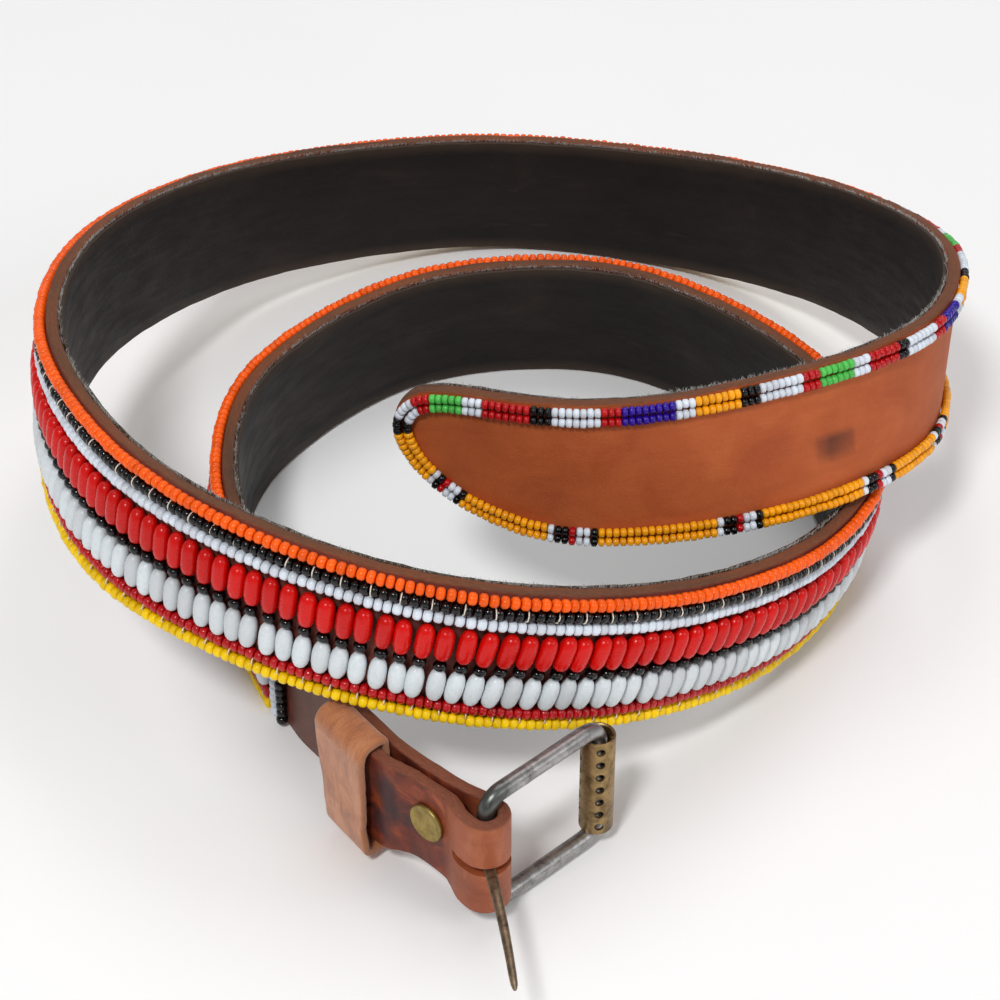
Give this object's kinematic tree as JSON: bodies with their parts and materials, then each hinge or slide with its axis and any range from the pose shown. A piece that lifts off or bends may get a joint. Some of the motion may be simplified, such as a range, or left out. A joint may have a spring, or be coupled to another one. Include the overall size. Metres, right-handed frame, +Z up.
{
  "type": "beaded leather belt",
  "caption": "Unfastened leather belt standing in a loose coil, covered with rows of glass beads, with a roller buckle.",
  "frame": {"origin": "centre of the bounding box on the surface the belt stands on", "axes": "+Z up, +Y the long way of the coil with the buckle towards -Y, +X towards the side where the tip section crosses over"},
  "size_m": [0.2386, 0.3314, 0.0815],
  "materials": {
    "strap_leather": "satin tan leather, darker and polished at the buckle",
    "lining_leather": "dark satin",
    "suede": "matt suede",
    "rivet_brass": "dull aged brass",
    "buckle_steel": "worn plated wire",
    "roller_brass": "aged brass",
    "prong_steel": "worn wire",
    "orange_beads": "opaque glossy glass",
    "black_beads": "opaque glossy glass",
    "white_beads": "opaque glossy glass",
    "red_beads": "opaque glossy glass",
    "yellow_beads": "opaque glossy glass",
    "border_beads": "opaque glossy glass in golden yellow with short groups of other colours"
  },
  "bodies": {
    "belt": {"strap": "strap_leather", "lining": "lining_leather", "keeper": "suede", "rivet": "rivet_brass", "start_bar_black": "black_beads", "start_bar_white": "white_beads", "orange_row": "orange_beads", "black_row": "black_beads", "white_row": "white_beads", "red_oval_band": "red_beads", "spacer_row": "black_beads", "white_oval_band": "white_beads", "red_row": "red_beads", "yellow_row": "yellow_beads", "tip_border_outer": "border_beads", "tip_border_inner": "border_beads"},
    "frame": {"buckle_frame": "buckle_steel"},
    "roller": {"roller": "roller_brass"},
    "prong": {"prong": "prong_steel"}
  },
  "joints": [
    {"name": "frame_hinge", "type": "hinge", "parent": "belt", "child": "frame", "pos_m": [-0.00431, -0.12599, 0.019], "axis": [0, 0, 1], "range_deg": [-90, 0]},
    {"name": "roller_spin", "type": "hinge", "parent": "frame", "child": "roller", "pos_m": [0.02087, -0.10168, 0.019], "axis": [0, 0, 1], "continuous": true},
    {"name": "prong_hinge", "type": "hinge", "parent": "frame", "child": "prong", "pos_m": [-0.00431, -0.12599, 0.019], "axis": [0, 0, 1], "range_deg": [0, 115]}
  ]
}
